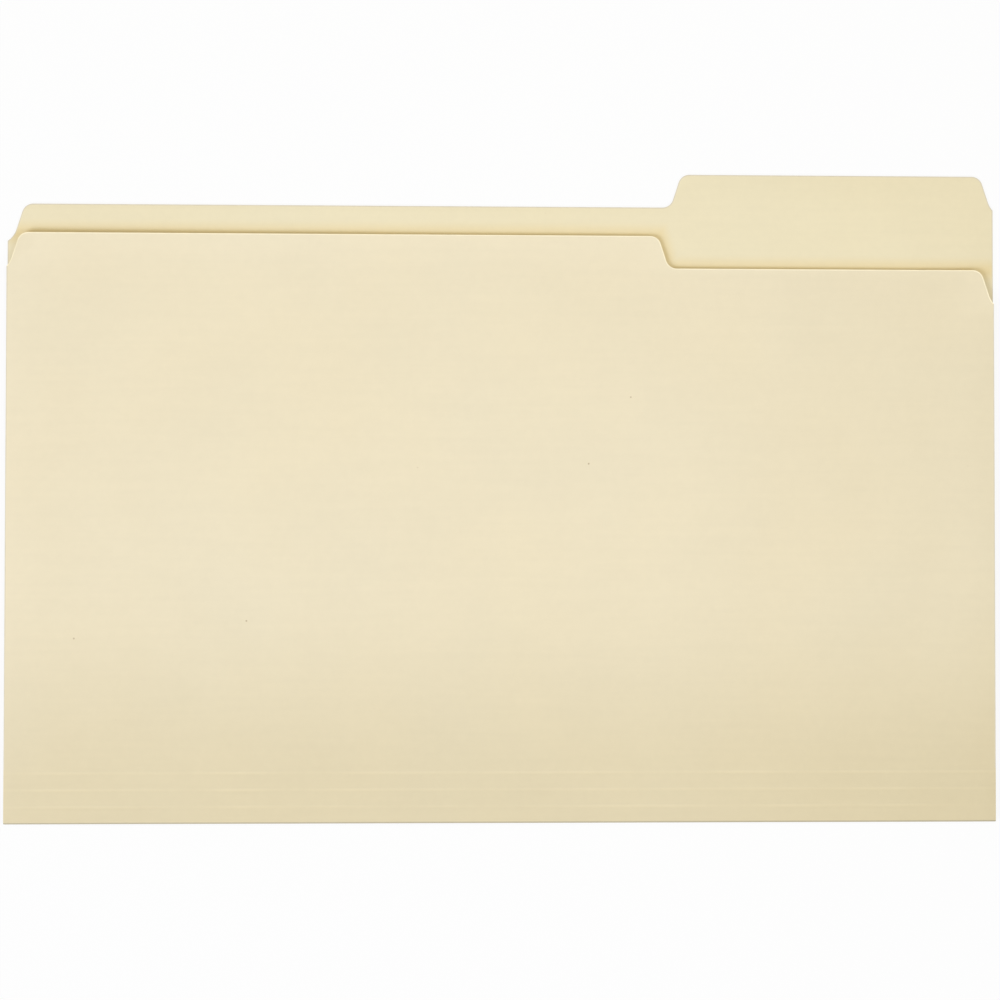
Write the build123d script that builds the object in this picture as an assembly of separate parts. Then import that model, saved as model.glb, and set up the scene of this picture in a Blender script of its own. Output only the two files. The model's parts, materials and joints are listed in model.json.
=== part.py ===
from build123d import *
import math
import os

# Legal-size file folder: one sheet of manila board, die-cut, scored and folded once.
# It lies closed on its back leaf. +X runs along the fold, +Y from the fold towards the tab, +Z up.
# The origin is under the middle of the closed folder. Lengths are in millimetres, angles in degrees.

# Sheet
sheet_width = 374.65
board_thickness = 0.28

# Leaves, measured from the folded edge
back_height = 233.6
front_height = 222.6

# Tab that rises from the back leaf, and the step in the front leaf that uncovers it.
# Each reach runs from the right edge of the sheet to where the slope leaves the level on its left.
tab_height = 12.6
tab_reach = 123.8
undercut_depth = 12.4
undercut_reach = 128.6

# Die-cut slopes of the tab and the step
slope_angle = 18.0
die_radius = 4.3

# Corners of the leaves: the die leans out from the inset and flares through the side edge
corner_inset = 5.0
plain_corner_inset = 6.4
corner_run_out = 15.5
flare_radius = 8.0
die_overrun = 12.0

# Bottom fold: a soft roll with a short straight tail on each leaf
fold_inner_radius = 0.55
fold_tail = 0.25

# A folded sheet springs open a little, so the front leaf rises from the fold
rest_opening = 0.12

# Expansion scores across the front leaf: a shallow groove outside and its bead inside
score_count = 3
score_pitch = 6.35
score_width = 2.4
score_depth = 0.05

# Places that follow from the sizes above
overall_height = back_height + tab_height
side_edge = sheet_width / 2
folded_edge = -overall_height / 2
fold_outer_radius = fold_inner_radius + board_thickness
fold_axis_y = folded_edge + fold_outer_radius
fold_axis_z = fold_outer_radius
fold_axis = Axis((0, fold_axis_y, fold_axis_z), (1, 0, 0))
crease_edge = fold_axis_y + fold_tail
front_top_z = 2 * fold_outer_radius
front_under_z = front_top_z - board_thickness


def score_y(number):
    """Distance along Y of a score's middle on the front leaf, before the leaf is raised."""
    return folded_edge + number * score_pitch


def slope_run(drop):
    """Sideways run of a die-cut slope over the given drop."""
    return drop * math.tan(math.radians(slope_angle))


def along_fold(profile):
    """Solid made by running a side profile, drawn in Y and Z, across the whole sheet."""
    return extrude(Plane.YZ * profile, amount=side_edge, both=True)


def raised(solid):
    """Turn a piece of the front leaf about the fold, to where the sheet springs open."""
    return solid.rotate(fold_axis, rest_opening)


def leaf_face(lower_edge, left_level, left_inset, right_level, step_reach):
    """Outline of a leaf: square below, with a die-cut upper edge that steps once near the tab."""
    step_left = side_edge - step_reach
    step_right = step_left + slope_run(abs(right_level - left_level))
    left_corner = left_inset - side_edge
    right_corner = side_edge - corner_inset
    corner_lean = slope_run(corner_run_out)
    left_end = -side_edge - die_overrun
    right_end = side_edge + die_overrun
    upper_edge = FilletPolyline(
        (left_end, left_level - corner_run_out),
        (left_corner - corner_lean, left_level - corner_run_out),
        (left_corner, left_level),
        (step_left, left_level),
        (step_right, right_level),
        (right_corner, right_level),
        (right_corner + corner_lean, right_level - corner_run_out),
        (right_end, right_level - corner_run_out),
        radius=[flare_radius, die_radius, die_radius, die_radius, die_radius, flare_radius],
    )
    sides = Polyline(upper_edge @ 1, (right_end, lower_edge), (left_end, lower_edge), upper_edge @ 0)
    die_cut = make_face(upper_edge.edges() + sides.edges())
    sheet = Rectangle(sheet_width, 2 * overall_height)
    return die_cut & sheet


def make_back_panel():
    """Back leaf with its tab, lying flat on the surface below."""
    face = leaf_face(
        lower_edge=crease_edge,
        left_level=folded_edge + back_height,
        left_inset=plain_corner_inset,
        right_level=folded_edge + overall_height,
        step_reach=tab_reach,
    )
    return extrude(face, amount=board_thickness)


def make_bottom_fold():
    """Roll of board that joins the two leaves round the fold's axis."""
    sweep_angle = 180 - rest_opening
    tail_on_back = Vector(fold_tail, 0)
    tail_on_front = Vector(fold_tail, 0).rotate(Axis.Z, rest_opening)
    outer = CenterArc((0, 0), fold_outer_radius, 90 + rest_opening, sweep_angle)
    inner = CenterArc((0, 0), fold_inner_radius, 90 + rest_opening, sweep_angle)
    front_end = Polyline(outer @ 0, outer @ 0 + tail_on_front, inner @ 0 + tail_on_front, inner @ 0)
    back_end = Polyline(outer @ 1, outer @ 1 + tail_on_back, inner @ 1 + tail_on_back, inner @ 1)
    section = make_face([outer.edge(), inner.edge()] + front_end.edges() + back_end.edges())
    return along_fold(Pos(fold_axis_y, fold_axis_z) * section)


def make_score_line(number):
    """Pressed line of one score: the board dips inwards between two straight sides."""
    middle = score_y(number)
    lower = middle - score_width / 2
    upper = middle + score_width / 2
    groove_bottom = (middle, front_top_z - score_depth)
    bead_crest = (middle, front_under_z - score_depth)
    groove = ThreePointArc((lower, front_top_z), groove_bottom, (upper, front_top_z))
    bead = ThreePointArc((lower, front_under_z), bead_crest, (upper, front_under_z))
    lower_side = Line(groove @ 0, bead @ 0)
    upper_side = Line(groove @ 1, bead @ 1)
    section = make_face([groove.edge(), bead.edge(), lower_side.edge(), upper_side.edge()])
    return raised(along_fold(section))


def make_gusset_strip(number):
    """Flat strip of the front leaf just below one score."""
    if number == 1:
        lower = crease_edge
    else:
        lower = score_y(number - 1) + score_width / 2
    upper = score_y(number) - score_width / 2
    centre = Pos((lower + upper) / 2, front_under_z + board_thickness / 2)
    return raised(along_fold(centre * Rectangle(upper - lower, board_thickness)))


def make_front_panel():
    """Front leaf above the last score, stepped down on the right to uncover the tab."""
    face = leaf_face(
        lower_edge=score_y(score_count) + score_width / 2,
        left_level=folded_edge + front_height,
        left_inset=corner_inset,
        right_level=folded_edge + front_height - undercut_depth,
        step_reach=undercut_reach,
    )
    return raised(extrude(Pos(0, 0, front_under_z) * face, amount=board_thickness))


pieces = {"back_panel": make_back_panel(), "bottom_fold": make_bottom_fold()}
for number in range(1, score_count + 1):
    pieces[f"gusset_strip_{number}"] = make_gusset_strip(number)
    pieces[f"score_line_{number}"] = make_score_line(number)
pieces["front_panel"] = make_front_panel()

os.makedirs("parts", exist_ok=True)
for name, solid in pieces.items():
    export_step(solid, f"parts/{name}.step")

print(f"fold axis at y {fold_axis_y:.4f}, z {fold_axis_z:.4f}")
print(f"the front leaf opens {180 - rest_opening:.2f} degrees until it lies flat")
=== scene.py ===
import json
import math

import bmesh
import bpy
from bpy.props import FloatProperty, FloatVectorProperty, IntProperty, PointerProperty
from bpy.types import Operator, Panel, PropertyGroup
from mathutils import Matrix, Vector, noise


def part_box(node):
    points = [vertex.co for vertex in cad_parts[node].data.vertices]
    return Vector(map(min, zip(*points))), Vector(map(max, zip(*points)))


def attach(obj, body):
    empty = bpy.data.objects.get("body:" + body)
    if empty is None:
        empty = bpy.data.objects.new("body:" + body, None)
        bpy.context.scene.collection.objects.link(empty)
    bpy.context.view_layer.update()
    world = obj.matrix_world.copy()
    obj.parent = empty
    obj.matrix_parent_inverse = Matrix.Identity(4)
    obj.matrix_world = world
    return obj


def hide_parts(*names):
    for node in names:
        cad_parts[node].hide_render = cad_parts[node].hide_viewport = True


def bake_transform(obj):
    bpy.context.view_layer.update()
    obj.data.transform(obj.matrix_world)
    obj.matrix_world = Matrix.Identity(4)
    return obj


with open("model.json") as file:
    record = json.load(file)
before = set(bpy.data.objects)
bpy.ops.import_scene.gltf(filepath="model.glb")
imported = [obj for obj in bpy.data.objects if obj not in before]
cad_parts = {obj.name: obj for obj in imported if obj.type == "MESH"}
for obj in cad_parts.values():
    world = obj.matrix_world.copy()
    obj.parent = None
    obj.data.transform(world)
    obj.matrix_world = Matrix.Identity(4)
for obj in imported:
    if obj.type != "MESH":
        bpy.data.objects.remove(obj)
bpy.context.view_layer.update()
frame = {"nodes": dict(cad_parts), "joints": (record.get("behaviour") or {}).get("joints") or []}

bl_info = {
    "name": "Manila File Folder",
    "version": (1, 0, 0),
    "blender": (4, 5, 0),
    "location": "3D View > Sidebar > Folder",
    "description": "Makes the board of a file folder round its packed part, and a stage for it",
    "category": "Object",
}

MM = 0.001

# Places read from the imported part, in metres
COVER_JOINT = next(joint for joint in frame["joints"] if joint["name"] == "cover_open")
FOLD_AXIS = Vector(COVER_JOINT["pos_m"])
REST_OPENING = math.radians(180 - COVER_JOINT["range_deg"][1])
BACK_LOW, BACK_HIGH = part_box("back_panel")
SIDE_EDGE = BACK_HIGH.x
BOARD = BACK_HIGH.z - BACK_LOW.z
CREASE_EDGE = BACK_LOW.y
FOLD_TAIL = CREASE_EDGE - FOLD_AXIS.y
ROLL_LENGTH = math.pi * FOLD_AXIS.z
STRIP_NODES = sorted(name for name in frame["nodes"] if name.startswith("gusset_strip"))
SCORE_NODES = sorted(name for name in frame["nodes"] if name.startswith("score_line"))

# Order of the materials on every piece of board
OUTSIDE, INSIDE, HIGHLIGHT_RIM, SHADED_RIM = range(4)

# How the meshes are told apart and cut
MERGE_GAP = 0.001 * MM
SAME_PLACE = 0.01 * MM
FLAT_ANGLE = math.radians(1.0)
SHARP_ANGLE = math.radians(35.0)
BROAD = 0.5

# Mesh cells across a strip and across a score
STRIP_ROWS = 4
SCORE_ROWS = 16

# Brightness that one unit of the pressed-place attribute adds: along the scores it holds burnish
# and painted highlight; on their upper lips and on the fold's outer turn it holds painted shade
PRESS_AND_SHADE_STEP = 0.03

# A score's upper lip, across its band: where it lies, how far it reaches,
# and how much painted shade it gets, in units of the brightness above
LIP_PLACE = 0.86
LIP_REACH = 0.14
LIP_SHADE = 0.35

# Painted shade on the outer turn of the folded edge: where it begins and is full, in shares of the
# radius, and its darkness in units of the pressed-place brightness
TURN_SHADE_START = 0.05
TURN_SHADE_FULL = 0.45
TURN_SHADE = 13.0

# Step of the front leaf's mouth, as in the part's source
UNDERCUT_REACH = 128.6 * MM
UNDERCUT_DEPTH = 12.4 * MM
SLOPE = math.radians(18.0)

# Values between which most of a noise lies
NOISE_LOW = 0.3
NOISE_HIGH = 0.7

WHITE = (1.0, 1.0, 1.0)


class FolderSizes(PropertyGroup):
    """Sizes of the board's finish."""

    rim_width: FloatProperty(
        name="Rim width",
        description="Width of the band along a die-cut edge that rolls over under the knife",
        default=0.4 * MM,
        min=0.05 * MM,
        max=2 * MM,
        unit="LENGTH",
        precision=5,
    )
    rim_drop: FloatProperty(
        name="Rim drop",
        description="How far the board's faces fall away at a die-cut edge",
        default=0.05 * MM,
        min=0,
        max=0.1 * MM,
        unit="LENGTH",
        precision=5,
    )
    mouth_burr: FloatProperty(
        name="Mouth burr",
        description="How far the knife lifts the outer face along the mouth of the front leaf",
        default=0.06 * MM,
        min=0,
        max=0.1 * MM,
        unit="LENGTH",
        precision=5,
    )
    cell: FloatProperty(
        name="Cell",
        description="Size of the mesh cells on the leaves",
        default=16 * MM,
        min=4 * MM,
        max=60 * MM,
        unit="LENGTH",
        precision=4,
    )
    settle_left: FloatProperty(
        name="Settle, left",
        description="How far the mouth's left end settles towards the back leaf",
        default=0.35 * MM,
        min=0,
        max=1.2 * MM,
        unit="LENGTH",
        precision=5,
    )
    settle_right: FloatProperty(
        name="Settle, right",
        description="How far the mouth's right end settles towards the back leaf",
        default=1.2 * MM,
        min=0,
        max=1.2 * MM,
        unit="LENGTH",
        precision=5,
    )
    corner_curl: FloatProperty(
        name="Corner curl",
        description="Share of the settling that the mouth's two corners keep back",
        default=0.5,
        min=0,
        max=1,
        subtype="FACTOR",
    )
    groove_depth: FloatProperty(
        name="Score depth",
        description="Greatest depth of a score's groove",
        default=0.026 * MM,
        min=0,
        max=0.1 * MM,
        unit="LENGTH",
        precision=5,
    )
    groove_wander: FloatProperty(
        name="Score unevenness",
        description="Share of a score's depth that comes and goes along it",
        default=1.3,
        min=0,
        max=2,
        subtype="FACTOR",
    )
    roll_steps: IntProperty(
        name="Roll steps",
        description="Facets round the bottom fold",
        default=24,
        min=6,
        max=64,
    )


class FolderColours(PropertyGroup):
    """Colours of the board."""

    outside: FloatVectorProperty(
        name="Outside",
        description="Outer faces of the folder",
        default=(0.848, 0.760, 0.556),
        size=3,
        min=0,
        max=1,
        subtype="COLOR",
    )
    inside: FloatVectorProperty(
        name="Inside",
        description="Inner faces of the folder, the tab's face among them",
        default=(0.850, 0.766, 0.538),
        size=3,
        min=0,
        max=1,
        subtype="COLOR",
    )
    # Pale cut fibre with a painted highlight along the mouth of the front leaf
    highlight_rim: FloatVectorProperty(
        name="Highlight rim",
        description="Raw fibre along the mouth of the front leaf",
        default=(0.970, 0.875, 0.630),
        size=3,
        min=0,
        max=1,
        subtype="COLOR",
    )
    # Painted edge shade: darker rims and cut walls along the tab, the back leaf and the sides
    shaded_rim: FloatVectorProperty(
        name="Shaded rim",
        description="Cut edges that are handled: the tab, the back leaf and the sides",
        default=(0.765, 0.695, 0.540),
        size=3,
        min=0,
        max=1,
        subtype="COLOR",
    )
    # Painted shade: how much of each colour is left where the light falls off towards the fold and the
    # right end
    falloff_shade: FloatVectorProperty(
        name="Falloff shade",
        description="What age and handling leave of each colour towards the fold",
        default=(0.870, 0.846, 0.762),
        size=3,
        min=0,
        max=1,
        subtype="COLOR",
    )
    # Painted warm shade: how much of each colour is left in the shadow along the mouth of the front
    # leaf
    mouth_shade: FloatVectorProperty(
        name="Mouth shade",
        description="What dust and light leave of each colour along the mouth of the front leaf",
        default=(0.985, 0.915, 0.760),
        size=3,
        min=0,
        max=1,
        subtype="COLOR",
    )
    fleck: FloatVectorProperty(
        name="Flecks",
        description="Stray dark fibres in the pulp",
        default=(0.58, 0.47, 0.30),
        size=3,
        min=0,
        max=1,
        subtype="COLOR",
    )


class FolderStage(PropertyGroup):
    """Camera, lights and floor."""

    camera_place: FloatVectorProperty(
        name="Camera",
        description="Where the camera stands",
        default=(-0.021267, -0.01459, 0.700),
        size=3,
        subtype="TRANSLATION",
        unit="LENGTH",
    )
    camera_turn: FloatVectorProperty(
        name="Camera turn",
        description="Pitch, yaw and roll of the camera from looking straight down",
        default=(math.radians(-1.1017), math.radians(1.6294), math.radians(-0.0768)),
        size=3,
        subtype="EULER",
        unit="ROTATION",
    )
    lens: FloatProperty(
        name="Lens",
        description="Focal length on a 36 mm sensor, in millimetres",
        default=66.475,
        min=10,
        max=300,
        unit="CAMERA",
    )
    top_place: FloatVectorProperty(
        name="Top light",
        description="Middle of the soft box beyond the tab",
        default=(0.02, 0.16, 0.45),
        size=3,
        subtype="TRANSLATION",
        unit="LENGTH",
    )
    top_size: FloatVectorProperty(
        name="Top size",
        description="Width and height of the soft box beyond the tab",
        default=(0.7, 0.5),
        size=2,
        min=0.05,
        max=4,
        unit="LENGTH",
    )
    top_power: FloatProperty(
        name="Top power",
        description="Power of the soft box beyond the tab",
        default=0.56,
        min=0,
        max=100,
        unit="POWER",
    )
    left_place: FloatVectorProperty(
        name="Left light",
        description="Middle of the soft box beyond the fold's left end",
        default=(-2.4, -1.7, 1.5),
        size=3,
        subtype="TRANSLATION",
        unit="LENGTH",
    )
    left_power: FloatProperty(
        name="Left power",
        description="Power of the soft box beyond the fold's left end",
        default=87.8,
        min=0,
        max=300,
        unit="POWER",
    )
    right_place: FloatVectorProperty(
        name="Right light",
        description="Middle of the soft box beyond the fold's right end",
        default=(2.2, -1.2, 1.5),
        size=3,
        subtype="TRANSLATION",
        unit="LENGTH",
    )
    right_power: FloatProperty(
        name="Right power",
        description="Power of the soft box beyond the fold's right end",
        default=26.6,
        min=0,
        max=300,
        unit="POWER",
    )
    side_size: FloatVectorProperty(
        name="Side size",
        description="Width and height of the soft boxes to the left and right",
        default=(1.6, 1.2),
        size=2,
        min=0.05,
        max=4,
        unit="LENGTH",
    )
    side_colour: FloatVectorProperty(
        name="Side colour",
        description="Cool tint of the soft boxes to the left and right",
        default=(0.682, 0.761, 1.0),
        size=3,
        min=0,
        max=1,
        subtype="COLOR",
    )
    sky_colour: FloatVectorProperty(
        name="Sky colour",
        description="Warm tint of the even light, which is all that reaches the shadows",
        default=(1.0, 0.917, 0.667),
        size=3,
        min=0,
        max=1,
        subtype="COLOR",
    )
    sky_strength: FloatProperty(
        name="Sky",
        description="Strength of the even light from all round",
        default=0.508,
        min=0,
        max=2,
    )
    floor_colour: FloatVectorProperty(
        name="Floor",
        description="Plain pale floor",
        default=(0.90, 0.90, 0.90),
        size=3,
        min=0,
        max=1,
        subtype="COLOR",
    )
    floor_white: FloatProperty(
        name="Floor white",
        description="Share of plain white that the camera sees in the floor by the folder",
        default=0.88,
        min=0,
        max=1,
        subtype="FACTOR",
    )
    floor_size: FloatProperty(
        name="Floor size",
        description="Side of the floor",
        default=8.0,
        min=1,
        max=40,
        unit="LENGTH",
    )


# Shader nodes

def add_node(tree, kind, values=None, **options):
    """New shader node with the given options and input values."""
    node = tree.nodes.new(kind)
    for option, value in options.items():
        setattr(node, option, value)
    for socket, value in (values or {}).items():
        node.inputs[socket].default_value = value
    return node


def add_noise(tree, coordinates, scale=1.0, detail=2.0, stretch=(1, 1, 1)):
    """Noise over the board, stretched along its three axes, as a socket from 0 to 1."""
    mapping = add_node(tree, "ShaderNodeMapping", {"Scale": stretch})
    tree.links.new(coordinates, mapping.inputs["Vector"])
    texture = add_node(tree, "ShaderNodeTexNoise", {"Scale": scale, "Detail": detail})
    tree.links.new(mapping.outputs["Vector"], texture.inputs["Vector"])
    return texture.outputs["Fac"]


def spread(tree, socket, low, high):
    """The middle of a noise spread between two values."""
    values = {"From Min": NOISE_LOW, "From Max": NOISE_HIGH, "To Min": low, "To Max": high}
    node = add_node(tree, "ShaderNodeMapRange", values)
    tree.links.new(socket, node.inputs["Value"])
    return node.outputs["Result"]


def about_one(tree, socket, depth):
    """The middle of a noise spread evenly about 1."""
    return spread(tree, socket, 1 - depth, 1 + depth)


def ramp(tree, socket, start, end, low, high):
    """Soft rise from low to high between two places."""
    values = {"From Min": start, "From Max": end, "To Min": low, "To Max": high}
    node = add_node(tree, "ShaderNodeMapRange", values, interpolation_type="SMOOTHSTEP")
    tree.links.new(socket, node.inputs["Value"])
    return node.outputs["Result"]


def combine(tree, operation, first, second):
    """One arithmetic step between a socket and another socket or a number."""
    node = add_node(tree, "ShaderNodeMath", operation=operation)
    tree.links.new(first, node.inputs[0])
    if isinstance(second, float):
        node.inputs[1].default_value = second
    else:
        tree.links.new(second, node.inputs[1])
    return node.outputs["Value"]


def blend_colour(tree, factor, first, second, blend_type="MIX"):
    """Mix two colours, each a socket or a plain colour, by a socket or a number."""
    node = add_node(tree, "ShaderNodeMix", data_type="RGBA", blend_type=blend_type)
    sockets = {item.identifier: item for item in node.inputs}
    choices = {"Factor_Float": factor, "A_Color": first, "B_Color": second}
    for identifier, choice in choices.items():
        if isinstance(choice, bpy.types.NodeSocket):
            tree.links.new(choice, sockets[identifier])
        elif identifier == "Factor_Float":
            sockets[identifier].default_value = choice
        else:
            sockets[identifier].default_value = (*choice, 1.0)
    return next(item for item in node.outputs if item.identifier == "Result_Color")


def new_material(name):
    """Empty node material with a principled shader, its tree and its object coordinates."""
    material = bpy.data.materials.new(name)
    material.use_nodes = True
    tree = material.node_tree
    shader = next(node for node in tree.nodes if node.type == "BSDF_PRINCIPLED")
    coordinates = add_node(tree, "ShaderNodeTexCoord").outputs["Object"]
    return material, tree, shader, coordinates


def fleck_mask(tree, coordinates, shift):
    """Mask of a few small flecks of uneven strength, one in a scattering of cells."""
    cells_per_metre = 62.0
    chosen_above = 0.972
    fleck_radius = 0.021
    mapping = add_node(tree, "ShaderNodeMapping", {"Location": (shift, shift, 0)})
    tree.links.new(coordinates, mapping.inputs["Vector"])
    cells = add_node(
        tree,
        "ShaderNodeTexVoronoi",
        {"Scale": cells_per_metre, "Randomness": 1.0},
        voronoi_dimensions="2D",
    )
    tree.links.new(mapping.outputs["Vector"], cells.inputs["Vector"])
    near = combine(tree, "LESS_THAN", cells.outputs["Distance"], fleck_radius)
    split = add_node(tree, "ShaderNodeSeparateColor")
    tree.links.new(cells.outputs["Color"], split.inputs["Color"])
    strength = ramp(tree, split.outputs["Red"], chosen_above, 1.0, 0.0, 1.0)
    return combine(tree, "MULTIPLY", near, strength)


def board_tone(tree, coordinates):
    """Brightness of the board about 1: cloudy formation, fine mottle and grain along the fold."""
    cloud_depth = 0.012
    mottle_depth = 0.008
    grain_depth = 0.007
    clouds = add_noise(tree, coordinates, scale=24.0, detail=3.0)
    mottle = add_noise(tree, coordinates, scale=330.0, detail=4.0)
    grain = add_noise(tree, coordinates, detail=4.0, stretch=(22, 420, 420))
    tone = about_one(tree, clouds, cloud_depth)
    tone = combine(tree, "MULTIPLY", tone, about_one(tree, mottle, mottle_depth))
    return combine(tree, "MULTIPLY", tone, about_one(tree, grain, grain_depth))


def board_relief(tree, coordinates, shader, strength):
    """Fine bump of matted fibres and the felt's tooth."""
    relief_height = 0.02 * MM
    fibres = add_noise(tree, coordinates, detail=3.0, stretch=(500, 1400, 1400))
    tooth = add_noise(tree, coordinates, scale=2600.0, detail=2.0)
    height = combine(tree, "ADD", fibres, tooth)
    bump = add_node(tree, "ShaderNodeBump", {"Strength": strength, "Distance": relief_height})
    tree.links.new(height, bump.inputs["Height"])
    tree.links.new(bump.outputs["Normal"], shader.inputs["Normal"])


def falloff_shade_mask(tree, coordinates, share):
    """Mask of painted shade where the light falls off: it grows slowly towards the fold, and most at
    its right end.
    """
    fold_start = -30 * MM
    fold_share = 0.8
    right_start = 40 * MM
    right_share = 0.22
    split = add_node(tree, "ShaderNodeSeparateXYZ")
    tree.links.new(coordinates, split.inputs["Vector"])
    to_fold = ramp(tree, split.outputs["Y"], fold_start, CREASE_EDGE, 0.0, fold_share * share)
    to_right = ramp(tree, split.outputs["X"], right_start, SIDE_EDGE, 0.0, right_share * share)
    return combine(tree, "ADD", to_fold, to_right)


def mouth_shade_mask(tree, coordinates):
    """Mask of painted warm shade, a soft line on the inside of the sheet
    along the stepped mouth of the front leaf.
    """
    reach = 6 * MM
    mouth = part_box("front_panel")[1].y
    split = add_node(tree, "ShaderNodeSeparateXYZ")
    tree.links.new(coordinates, split.inputs["Vector"])
    above = combine(tree, "SUBTRACT", split.outputs["Y"], mouth)
    above_step = combine(tree, "SUBTRACT", split.outputs["Y"], mouth - UNDERCUT_DEPTH)
    beside = combine(tree, "SUBTRACT", split.outputs["X"], SIDE_EDGE - UNDERCUT_REACH)
    lean = combine(tree, "MULTIPLY", above, math.tan(SLOPE))
    beside = combine(tree, "MULTIPLY", combine(tree, "ADD", beside, lean), math.cos(SLOPE))
    distance = combine(tree, "MINIMUM", above_step, combine(tree, "MAXIMUM", above, beside))
    rise = ramp(tree, distance, -reach, 0.0, 0.0, 1.0)
    return combine(tree, "MULTIPLY", rise, ramp(tree, distance, 0.0, reach, 1.0, 0.0))


def board_material(name, colour, colours, pressed=False, within=False):
    """Uncoated manila board: soft clouds, grain, a warm drift, a few flecks and painted shade towards
    the fold;
    inside, painted warm shade along the mouth; where asked, the pressed-place burnish, highlight and
    shade.
    """
    falloff_shade_share = 0.2 if within else 1.0
    fleck_shift = 1.0 if within else 0.0
    warm_drift = (1.004, 0.994, 0.975)
    smooth_patch = 0.62
    rough_patch = 0.76
    gloss = 0.3
    relief = 0.3
    material, tree, shader, coordinates = new_material(name)
    warmer = [part * share for part, share in zip(colour, warm_drift)]
    drift = add_noise(tree, coordinates, scale=13.0, detail=2.0)
    base = blend_colour(tree, spread(tree, drift, 0.0, 1.0), colour, warmer)
    # Painted shade, darker towards the fold and its right end
    falloff = falloff_shade_mask(tree, coordinates, falloff_shade_share)
    base = blend_colour(tree, falloff, base, colours.falloff_shade, "MULTIPLY")
    if within:
        # Painted warm shade along the mouth of the front leaf
        base = blend_colour(tree, mouth_shade_mask(tree, coordinates), base, colours.mouth_shade, "MULTIPLY")
    tone = board_tone(tree, coordinates)
    if pressed:
        # Burnish, painted highlight and painted shade from the pressed-place attribute
        press = add_node(tree, "ShaderNodeAttribute", attribute_name="pressed").outputs["Fac"]
        tone = combine(tree, "ADD", tone, combine(tree, "MULTIPLY", press, PRESS_AND_SHADE_STEP))
    base = blend_colour(tree, 1.0, base, tone, "MULTIPLY")
    base = blend_colour(tree, fleck_mask(tree, coordinates, fleck_shift), base, colours.fleck)
    tree.links.new(base, shader.inputs["Base Color"])
    patches = add_noise(tree, coordinates, scale=140.0, detail=3.0)
    tree.links.new(spread(tree, patches, smooth_patch, rough_patch), shader.inputs["Roughness"])
    shader.inputs["Specular IOR Level"].default_value = gloss
    board_relief(tree, coordinates, shader, relief)
    return material


def rim_material(name, colour):
    """Raw cut edge: fibre in fine plies."""
    dark_ply = 0.95
    pale_ply = 1.04
    smooth_ply = 0.74
    rough_ply = 0.9
    gloss = 0.2
    relief = 0.4
    material, tree, shader, coordinates = new_material(name)
    plies = add_noise(tree, coordinates, detail=2.0, stretch=(260, 260, 14000))
    tone = spread(tree, plies, dark_ply, pale_ply)
    tree.links.new(blend_colour(tree, 1.0, colour, tone, "MULTIPLY"), shader.inputs["Base Color"])
    tree.links.new(spread(tree, plies, smooth_ply, rough_ply), shader.inputs["Roughness"])
    shader.inputs["Specular IOR Level"].default_value = gloss
    board_relief(tree, coordinates, shader, relief)
    return material


def folder_materials(colours, pressed):
    """Materials of a piece of board in their order: outer face, inner face, rim with painted highlight
    and rim with painted shade.
    """
    made = bpy.data.materials
    outside_name = "manila_press_and_shade" if pressed else "manila_outside"
    outside = made.get(outside_name) or board_material(outside_name, colours.outside, colours, pressed)
    inside = made.get("manila_inside") or board_material(
        "manila_inside",
        colours.inside,
        colours,
        within=True,
    )
    highlight_rim = made.get("manila_highlight_rim") or rim_material("manila_highlight_rim", colours.highlight_rim)
    shaded_rim = made.get("manila_shaded_rim") or rim_material("manila_shaded_rim", colours.shaded_rim)
    return outside, inside, highlight_rim, shaded_rim


# Board meshes

def is_wall(face):
    """True for a face across the board's thickness."""
    return abs(face.normal.z) < BROAD


def is_joint(face, levels):
    """True for a wall that meets the next piece of the same sheet."""
    return any(all(abs(vert.co.y - level) < SAME_PLACE for vert in face.verts) for level in levels)


def cut_across(bm, axis, places):
    """Cut the whole mesh square to an axis at each of the places."""
    for place in places:
        normal = Vector((0, 0, 0))
        normal[axis] = 1
        geometry = bm.verts[:] + bm.edges[:] + bm.faces[:]
        bmesh.ops.bisect_plane(
            bm,
            geom=geometry,
            dist=MERGE_GAP,
            plane_co=normal * place,
            plane_no=normal,
        )


def rim_lines(sizes):
    """Where the rolled rims of the two side edges begin."""
    return (sizes.rim_width - SIDE_EDGE, SIDE_EDGE - sizes.rim_width)


def drop_rim(bm, joints, sizes):
    """Let the faces fall away at die-cut edges, lift the mouth's burr and leave the joints level."""
    for vert in bm.verts:
        cut = any(is_wall(face) and not is_joint(face, joints) for face in vert.link_faces)
        if cut:
            above = [face for face in vert.link_faces if face.normal.z > BROAD]
            if any(face.material_index == HIGHLIGHT_RIM for face in above):
                vert.co.z += sizes.mouth_burr
            else:
                vert.co.z += -sizes.rim_drop if above else sizes.rim_drop


def paint_faces(bm, above, below):
    """Give the faces above, below and round the board their materials."""
    for face in bm.faces:
        if is_wall(face):
            face.material_index = SHADED_RIM
        elif face.material_index not in (HIGHLIGHT_RIM, SHADED_RIM):
            face.material_index = above if face.normal.z > 0 else below


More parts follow.
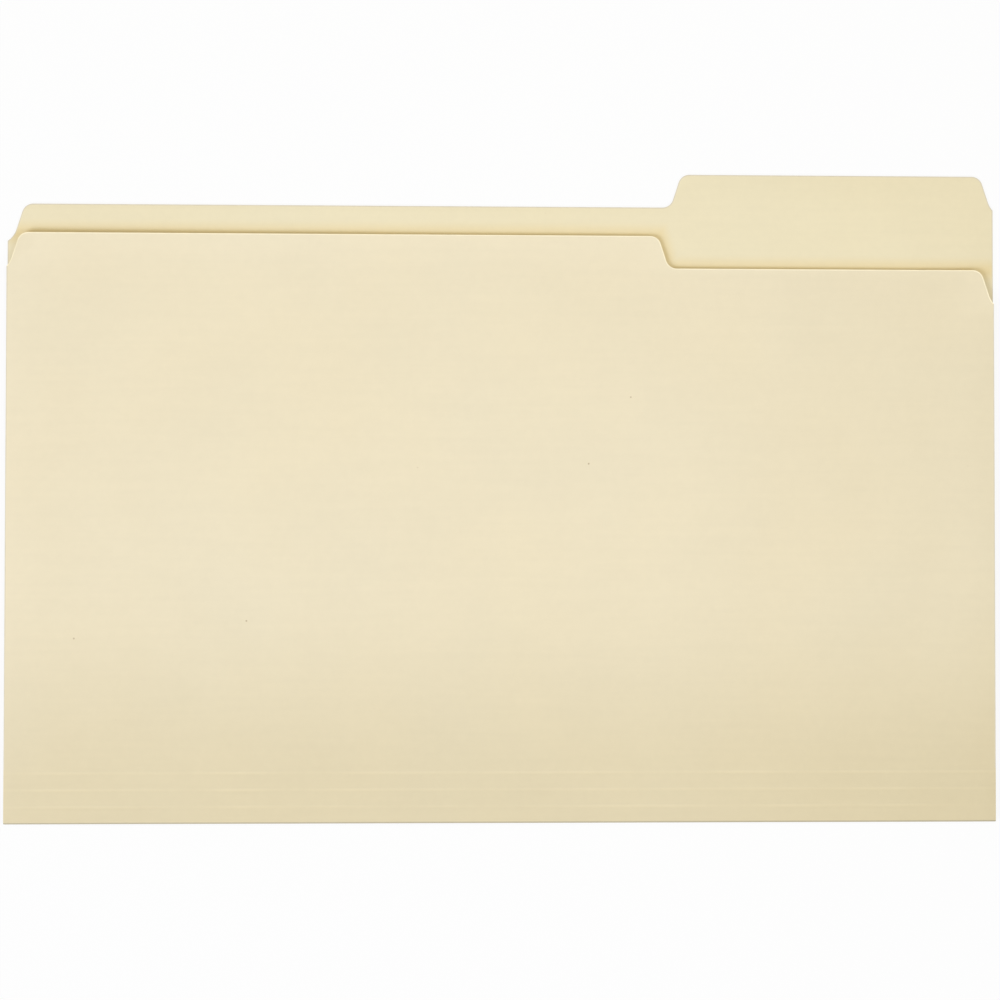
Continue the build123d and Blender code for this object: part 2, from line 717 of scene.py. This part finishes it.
def leaf_board(node_name, rim_slot, sizes):
    """Board of a leaf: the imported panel's outline with a rolled rim and an even grid."""
    bm = bmesh.new()
    bm.from_mesh(frame["nodes"][node_name].data)
    bmesh.ops.remove_doubles(bm, verts=bm.verts[:], dist=MERGE_GAP)
    bmesh.ops.dissolve_limit(bm, angle_limit=FLAT_ANGLE, verts=bm.verts[:], edges=bm.edges[:])
    bm.normal_update()
    low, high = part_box(node_name)
    broad = [face for face in bm.faces if not is_wall(face)]
    rim = bmesh.ops.inset_region(
        bm,
        faces=broad,
        thickness=sizes.rim_width,
        use_even_offset=True,
    )
    joint_strip = low.y + sizes.rim_width + SAME_PLACE
    for face in rim["faces"]:
        if any(vert.co.y > joint_strip for vert in face.verts):
            at_side = abs(face.calc_center_median().x) > SIDE_EDGE - sizes.rim_width
            face.material_index = SHADED_RIM if at_side else rim_slot
    columns = math.ceil((high.x - low.x) / sizes.cell)
    rows = math.ceil((high.y - low.y) / sizes.cell)
    cut_across(bm, 0, [low.x + (high.x - low.x) * i / columns for i in range(1, columns)])
    cut_across(bm, 1, [low.y + (high.y - low.y) * i / rows for i in range(1, rows)])
    cut_across(bm, 0, rim_lines(sizes))
    bm.normal_update()
    drop_rim(bm, [low.y], sizes)
    return bm


def settle_mouth(bm, sizes):
    """Let the mouth settle towards the back leaf, more at its right end and less at its corners."""
    rise_power = 1.5
    fall_power = 1.6
    curl_start = 0.84
    low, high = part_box("front_panel")
    for vert in bm.verts:
        up = max(0.0, (vert.co.y - low.y) / (high.y - low.y))
        across = (vert.co.x - low.x) / (high.x - low.x)
        curl = max(0.0, (abs(2 * across - 1) - curl_start) / (1 - curl_start))
        fall = 1 - max(0.0, 1 - across) ** fall_power
        settle = sizes.settle_left + (sizes.settle_right - sizes.settle_left) * fall
        share = 1 - sizes.corner_curl * curl ** 2
        vert.co.z -= settle * share * up ** rise_power


def flat_span(node_name):
    """Lowest and highest corner of a piece of the front leaf with the leaf turned back to level."""
    level = Matrix.Rotation(-REST_OPENING, 3, "X")
    vertices = frame["nodes"][node_name].data.vertices
    places = [level @ (vert.co - FOLD_AXIS) + FOLD_AXIS for vert in vertices]
    lowest = Vector([min(place[i] for place in places) for i in range(3)])
    highest = Vector([max(place[i] for place in places) for i in range(3)])
    return lowest, highest


def band_board(node_name, rows, groove_depth, sizes):
    """Band of board along the fold, with a groove pressed along its middle where it is a score,
    and burnish, painted highlight and painted shade along the groove.
    """
    columns = 60
    wander_pitch = 22 * MM
    low, high = flat_span(node_name)
    bm = bmesh.new()
    bmesh.ops.create_grid(bm, x_segments=columns, y_segments=rows, size=0.5)
    bmesh.ops.scale(bm, vec=(high.x - low.x, high.y - low.y, 1), verts=bm.verts[:])
    bmesh.ops.translate(bm, vec=(0, (low.y + high.y) / 2, high.z), verts=bm.verts[:])
    cut_across(bm, 0, rim_lines(sizes))
    pressed = bm.verts.layers.float.new("pressed")
    for vert in bm.verts:
        across = (vert.co.y - low.y) / (high.y - low.y)
        groove = (1 - math.cos(2 * math.pi * across)) / 2
        upper_lip = max(0.0, 1 - abs(across - LIP_PLACE) / LIP_REACH)
        wander = noise.noise(Vector((vert.co.x / wander_pitch, low.y / wander_pitch, 0)))
        depth = 1 + sizes.groove_wander * wander
        if groove_depth > 0:
            vert.co.z -= groove_depth * groove * depth
            # Burnish and painted highlight along the groove's middle, painted shade on its upper lip
            vert[pressed] = (groove ** 2 - LIP_SHADE * upper_lip) * depth
    top = bm.faces[:]
    made = bmesh.ops.extrude_face_region(bm, geom=top)["geom"]
    lower = [item for item in made if isinstance(item, bmesh.types.BMVert)]
    bmesh.ops.translate(bm, vec=(0, 0, -BOARD), verts=lower)
    bmesh.ops.recalc_face_normals(bm, faces=bm.faces[:])
    bm.normal_update()
    drop_rim(bm, [low.y, high.y], sizes)
    paint_faces(bm, OUTSIDE, INSIDE)
    opened = Matrix.Rotation(REST_OPENING, 3, "X")
    bmesh.ops.rotate(bm, cent=FOLD_AXIS, matrix=opened, verts=bm.verts[:])
    return bm


def push_face(bm, face, way):
    """Extrude one face and return the face at the far end."""
    made = bmesh.ops.extrude_face_region(bm, geom=[face])["geom"]
    moved = [item for item in made if isinstance(item, bmesh.types.BMVert)]
    bmesh.ops.translate(bm, vec=way, verts=moved)
    return next(item for item in made if isinstance(item, bmesh.types.BMFace))


def roll_board(sizes):
    """Bottom fold: the board's section, run from the back leaf round the fold to the front leaf,
    with painted shade on its outer turn.
    """
    bm = bmesh.new()
    corners = [
        (-SIDE_EDGE, CREASE_EDGE, 0),
        (SIDE_EDGE, CREASE_EDGE, 0),
        (SIDE_EDGE, CREASE_EDGE, BOARD),
        (-SIDE_EDGE, CREASE_EDGE, BOARD),
    ]
    section = bm.faces.new([bm.verts.new(corner) for corner in corners])
    section = push_face(bm, section, Vector((0, -FOLD_TAIL, 0)))
    turned = bmesh.ops.spin(
        bm,
        geom=[section, *section.edges, *section.verts],
        cent=FOLD_AXIS,
        axis=(1, 0, 0),
        angle=REST_OPENING - math.pi,
        steps=sizes.roll_steps,
    )
    section = next(item for item in turned["geom_last"] if isinstance(item, bmesh.types.BMFace))
    leaf_way = Vector((0, math.cos(REST_OPENING), math.sin(REST_OPENING)))
    push_face(bm, section, leaf_way * FOLD_TAIL)
    bmesh.ops.delete(bm, geom=[section], context="FACES_ONLY")
    bmesh.ops.recalc_face_normals(bm, faces=bm.faces[:])
    cut_across(bm, 0, rim_lines(sizes))
    bm.normal_update()
    middle = FOLD_AXIS.z - BOARD / 2
    pressed = bm.verts.layers.float.new("pressed")
    for vert in bm.verts:
        spoke = Vector((0, min(0.0, vert.co.y - FOLD_AXIS.y), vert.co.z - FOLD_AXIS.z))
        outer = spoke.length > middle
        # Painted shade on the outer turn, darkest where it faces out beyond the fold
        turn_shade = (-spoke.normalized().y - TURN_SHADE_START) / (TURN_SHADE_FULL - TURN_SHADE_START)
        vert[pressed] = -TURN_SHADE * min(1.0, max(0.0, turn_shade))
        if abs(abs(vert.co.x) - SIDE_EDGE) < SAME_PLACE:
            vert.co += spoke.normalized() * (-sizes.rim_drop if outer else sizes.rim_drop)
    for face in bm.faces:
        spoke = face.calc_center_median() - FOLD_AXIS
        spoke.x = 0
        if abs(face.normal.x) > BROAD or is_joint(face, [CREASE_EDGE]):
            face.material_index = SHADED_RIM
        else:
            face.material_index = OUTSIDE if face.normal.dot(spoke) > 0 else INSIDE
    return bm


def unrolled(place):
    """Place of a point of the roll on the flat sheet, spaced along the sheet by its share of the turn.
    """
    spoke = place - FOLD_AXIS
    turn = math.atan2(max(0.0, -spoke.y), -spoke.z)
    share = min(1.0, turn / (math.pi - REST_OPENING))
    spaced = 0.5 - math.sin(math.asin(1 - 2 * share) / 3)
    return Vector((place.x, -spaced * ROLL_LENGTH, FOLD_AXIS.z - spoke.length))


def board_object(name, bm, materials):
    """Object for a finished board mesh, smooth but for its sharp edges."""
    mesh = bpy.data.meshes.new(name)
    bm.to_mesh(mesh)
    bm.free()
    mesh.shade_smooth()
    mesh.set_sharp_from_angle(angle=SHARP_ANGLE)
    for material in materials:
        mesh.materials.append(material)
    piece = bpy.data.objects.new(name, mesh)
    bpy.context.scene.collection.objects.link(piece)
    return piece


class FOLDER_OT_back_leaf(Operator):
    """Make the back leaf with its tab"""

    bl_idname = "folder.back_leaf"
    bl_label = "Back leaf"

    def execute(self, context):
        bm = leaf_board("back_panel", SHADED_RIM, context.scene.folder_sizes)
        paint_faces(bm, INSIDE, OUTSIDE)
        materials = folder_materials(context.scene.folder_colours, pressed=False)
        piece = board_object("back_leaf_board", bm, materials)
        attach(piece, "back_leaf")
        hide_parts("back_panel")
        return {"FINISHED"}


class FOLDER_OT_bottom_fold(Operator):
    """Make the roll of board that joins the leaves"""

    bl_idname = "folder.bottom_fold"
    bl_label = "Bottom fold"

    def execute(self, context):
        bm = roll_board(context.scene.folder_sizes)
        materials = folder_materials(context.scene.folder_colours, pressed=True)
        piece = board_object("bottom_fold_roll", bm, materials)
        # Each point is laid flat while the roll's transform is baked, and then put back
        rolled = [vert.co.copy() for vert in piece.data.vertices]
        for vert in piece.data.vertices:
            vert.co = unrolled(vert.co)
        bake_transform(piece)
        for vert, place in zip(piece.data.vertices, rolled):
            vert.co = place
        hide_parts("bottom_fold")
        return {"FINISHED"}


class FOLDER_OT_gusset_strips(Operator):
    """Make the flat strips between the fold and the scores"""

    bl_idname = "folder.gusset_strips"
    bl_label = "Gusset strips"

    def execute(self, context):
        for node_name in STRIP_NODES:
            bm = band_board(node_name, STRIP_ROWS, 0.0, context.scene.folder_sizes)
            materials = folder_materials(context.scene.folder_colours, pressed=False)
            piece = board_object(node_name + "_board", bm, materials)
            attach(piece, "front_leaf")
            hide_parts(node_name)
        return {"FINISHED"}


class FOLDER_OT_score_lines(Operator):
    """Make the pressed scores across the front leaf"""

    bl_idname = "folder.score_lines"
    bl_label = "Score lines"

    def execute(self, context):
        sizes = context.scene.folder_sizes
        for node_name in SCORE_NODES:
            bm = band_board(node_name, SCORE_ROWS, sizes.groove_depth, sizes)
            materials = folder_materials(context.scene.folder_colours, pressed=True)
            piece = board_object(node_name + "_groove", bm, materials)
            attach(piece, "front_leaf")
            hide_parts(node_name)
        return {"FINISHED"}


class FOLDER_OT_front_leaf(Operator):
    """Make the front leaf above the scores"""

    bl_idname = "folder.front_leaf"
    bl_label = "Front leaf"

    def execute(self, context):
        sizes = context.scene.folder_sizes
        bm = leaf_board("front_panel", HIGHLIGHT_RIM, sizes)
        paint_faces(bm, OUTSIDE, INSIDE)
        settle_mouth(bm, sizes)
        materials = folder_materials(context.scene.folder_colours, pressed=False)
        piece = board_object("front_leaf_board", bm, materials)
        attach(piece, "front_leaf")
        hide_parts("front_panel")
        return {"FINISHED"}


# Stage

def seen_directly(tree):
    """Socket that is 1 where the camera, a reflection or a view through glass meets the surface."""
    path = add_node(tree, "ShaderNodeLightPath")
    seen = combine(tree, "MAXIMUM", path.outputs["Is Camera Ray"], path.outputs["Is Glossy Ray"])
    return combine(tree, "MAXIMUM", seen, path.outputs["Is Transmission Ray"])


def make_floor(stage):
    """Plain pale floor that keeps a soft shadow by the folder and fades to white far from it."""
    below_board = 0.2 * MM
    fade_start = 0.35
    fade_end = 1.6
    tone_depth = 0.005
    bm = bmesh.new()
    bmesh.ops.create_grid(bm, x_segments=1, y_segments=1, size=stage.floor_size / 2)
    bmesh.ops.translate(bm, vec=(0, 0, -below_board), verts=bm.verts[:])
    mesh = bpy.data.meshes.new("stage_floor")
    bm.to_mesh(mesh)
    bm.free()
    material, tree, shader, coordinates = new_material("stage_floor")
    tone = about_one(tree, add_noise(tree, coordinates, scale=3.0), tone_depth)
    colour = blend_colour(tree, 1.0, stage.floor_colour, tone, "MULTIPLY")
    tree.links.new(colour, shader.inputs["Base Color"])
    shader.inputs["Roughness"].default_value = 0.9
    shader.inputs["Specular IOR Level"].default_value = 0.0
    white = add_node(tree, "ShaderNodeEmission", {"Color": (*WHITE, 1.0), "Strength": 1.0})
    mixed = add_node(tree, "ShaderNodeMixShader")
    away = add_node(tree, "ShaderNodeVectorMath", operation="LENGTH")
    tree.links.new(coordinates, away.inputs["Vector"])
    white_share = ramp(tree, away.outputs["Value"], fade_start, fade_end, stage.floor_white, 1.0)
    share = combine(tree, "MULTIPLY", seen_directly(tree), white_share)
    output = next(node for node in tree.nodes if node.type == "OUTPUT_MATERIAL")
    tree.links.new(share, mixed.inputs["Fac"])
    tree.links.new(shader.outputs["BSDF"], mixed.inputs[1])
    tree.links.new(white.outputs["Emission"], mixed.inputs[2])
    tree.links.new(mixed.outputs["Shader"], output.inputs["Surface"])
    mesh.materials.append(material)
    floor = bpy.data.objects.new("stage_floor", mesh)
    bpy.context.scene.collection.objects.link(floor)


def make_sky(stage):
    """Even warm light from all round, seen as plain white."""
    world = bpy.data.worlds.new("stage_sky")
    world.use_nodes = True
    tree = world.node_tree
    background = next(node for node in tree.nodes if node.type == "BACKGROUND")
    seen = seen_directly(tree)
    colour = blend_colour(tree, seen, stage.sky_colour, WHITE)
    tree.links.new(colour, background.inputs["Color"])
    strength = add_node(
        tree,
        "ShaderNodeMapRange",
        {"From Min": 0.0, "From Max": 1.0, "To Min": stage.sky_strength, "To Max": 1.0},
    )
    tree.links.new(seen, strength.inputs["Value"])
    tree.links.new(strength.outputs["Result"], background.inputs["Strength"])
    bpy.context.scene.world = world


def make_soft_box(name, place, size, power, colour):
    """Soft box aimed at the middle of the folder."""
    light = bpy.data.lights.new(name, "AREA")
    light.color = colour
    light.shape = "RECTANGLE"
    light.size = size[0]
    light.size_y = size[1]
    light.energy = power
    lamp = bpy.data.objects.new(name, light)
    lamp.location = place
    lamp.rotation_euler = (-Vector(place)).to_track_quat("-Z", "Y").to_euler()
    bpy.context.scene.collection.objects.link(lamp)


def make_camera(stage):
    """Camera that looks almost straight down on the closed folder."""
    camera = bpy.data.cameras.new("camera")
    camera.lens = stage.lens
    camera.sensor_width = 36
    camera.clip_start = 0.01
    viewer = bpy.data.objects.new("camera", camera)
    pitch, yaw, roll = stage.camera_turn
    turn = Matrix.Rotation(roll, 3, "Z") @ Matrix.Rotation(pitch, 3, "X") @ Matrix.Rotation(yaw, 3, "Y")
    viewer.matrix_world = Matrix.Translation(stage.camera_place) @ turn.transposed().to_4x4()
    bpy.context.scene.collection.objects.link(viewer)
    bpy.context.scene.camera = viewer


class FOLDER_OT_stage(Operator):
    """Set the floor, the light and the camera"""

    bl_idname = "folder.stage"
    bl_label = "Stage"

    def execute(self, context):
        stage = context.scene.folder_stage
        make_floor(stage)
        make_sky(stage)
        cool = stage.side_colour
        make_soft_box("top_light", stage.top_place, stage.top_size, stage.top_power, WHITE)
        make_soft_box("left_light", stage.left_place, stage.side_size, stage.left_power, cool)
        make_soft_box("right_light", stage.right_place, stage.side_size, stage.right_power, cool)
        make_camera(stage)
        context.scene.view_settings.view_transform = "Standard"
        return {"FINISHED"}


class FOLDER_PT_sidebar(Panel):
    """Lists the folder's pieces and settings in the sidebar"""

    bl_idname = "FOLDER_PT_sidebar"
    bl_label = "Manila folder"
    bl_space_type = "VIEW_3D"
    bl_region_type = "UI"
    bl_category = "Folder"

    def draw(self, context):
        for operator in OPERATORS:
            self.layout.operator(operator.bl_idname)
        for name in SETTINGS:
            group = getattr(context.scene, name)
            column = self.layout.column()
            for setting in group.__annotations__:
                column.prop(group, setting)


SETTINGS = {
    "folder_sizes": FolderSizes,
    "folder_colours": FolderColours,
    "folder_stage": FolderStage,
}
OPERATORS = (
    FOLDER_OT_back_leaf,
    FOLDER_OT_bottom_fold,
    FOLDER_OT_gusset_strips,
    FOLDER_OT_score_lines,
    FOLDER_OT_front_leaf,
    FOLDER_OT_stage,
)
CLASSES = (*SETTINGS.values(), *OPERATORS, FOLDER_PT_sidebar)


def register():
    for item in CLASSES:
        bpy.utils.register_class(item)
    for name, group in SETTINGS.items():
        setattr(bpy.types.Scene, name, PointerProperty(type=group))


def unregister():
    for name in SETTINGS:
        delattr(bpy.types.Scene, name)
    for item in reversed(CLASSES):
        bpy.utils.unregister_class(item)


def main():
    register()
    bpy.ops.folder.back_leaf()
    bpy.ops.folder.bottom_fold()
    bpy.ops.folder.gusset_strips()
    bpy.ops.folder.score_lines()
    bpy.ops.folder.front_leaf()
    bpy.ops.folder.stage()


if __name__ == "__main__":
    main()
